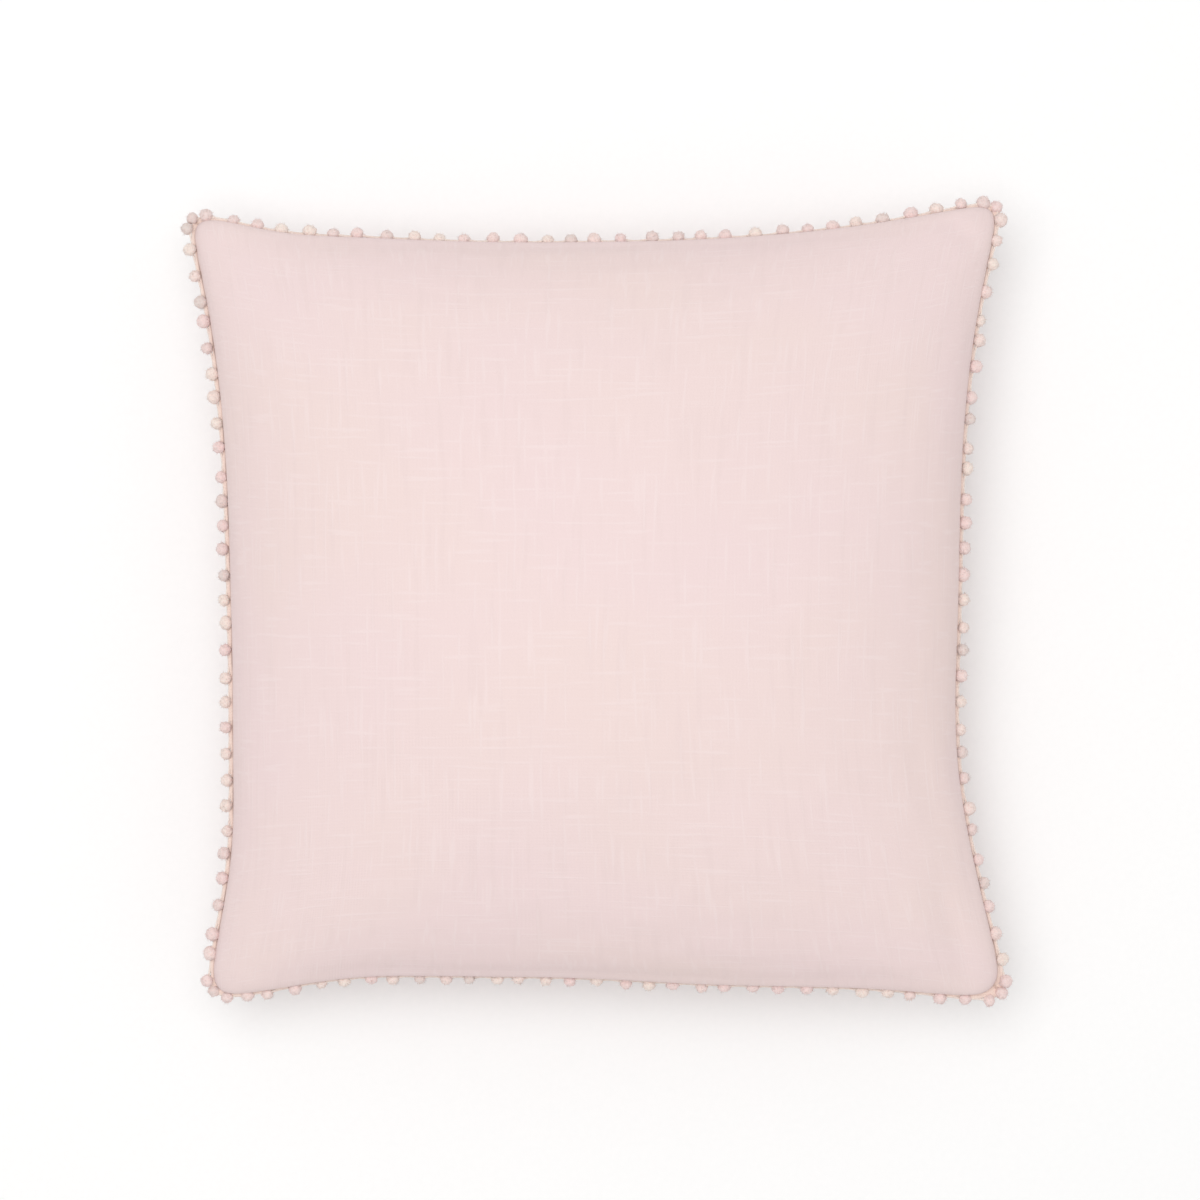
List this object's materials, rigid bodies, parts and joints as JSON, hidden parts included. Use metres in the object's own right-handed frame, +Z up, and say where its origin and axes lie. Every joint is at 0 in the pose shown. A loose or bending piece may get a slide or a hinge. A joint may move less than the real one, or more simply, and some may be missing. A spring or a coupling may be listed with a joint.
{
  "type": "ring bearer pillow",
  "caption": "Square blush cushion with a bobble-trimmed knife edge, a zipped cover and a fibre-filled insert.",
  "frame": {"origin": "under the middle of the cushion, on the surface it lies on", "axes": "+Z up out of the front face, +Y towards the top edge, -Y towards the zipped bottom edge, +X to the right seen from the front face"},
  "size_m": [0.261, 0.254, 0.083],
  "materials": {
    "cover_cloth": "matte",
    "trim": "matte",
    "insert_casing": "matte",
    "fibre": "matte",
    "zip_tape": "matte",
    "zip_coil": "satin",
    "zip_metal": "satin"
  },
  "bodies": {
    "cushion": {"front_panel": "cover_cloth", "back_panel": "cover_cloth", "insert_casing_front": "insert_casing", "insert_casing_back": "insert_casing", "fibre_fill": "fibre", "trim_tape_bottom": "trim", "trim_tape_right": "trim", "trim_tape_top": "trim", "trim_tape_left": "trim", "bobble_row_bottom": "trim", "bobble_row_right": "trim", "bobble_row_top": "trim", "bobble_row_left": "trim", "zip_tape_upper": "zip_tape", "zip_tape_lower": "zip_tape", "zip_coil_upper": "zip_coil", "zip_coil_lower": "zip_coil", "zip_top_stop_upper": "zip_metal", "zip_top_stop_lower": "zip_metal", "zip_bottom_stop": "zip_metal"},
    "zip_slider": {"zip_slider": "zip_metal"},
    "zip_pull": {"zip_pull": "zip_metal"}
  },
  "joints": [
    {"name": "zip_slide", "type": "slide", "parent": "cushion", "child": "zip_slider", "axis": [-1, 0, 0], "range_m": [0, 0.169]},
    {"name": "pull_flip", "type": "hinge", "parent": "zip_slider", "child": "zip_pull", "pos_m": [0.0845, -0.11276, 0.0315], "axis": [0, 0, 1], "range_deg": [0, 180]}
  ]
}
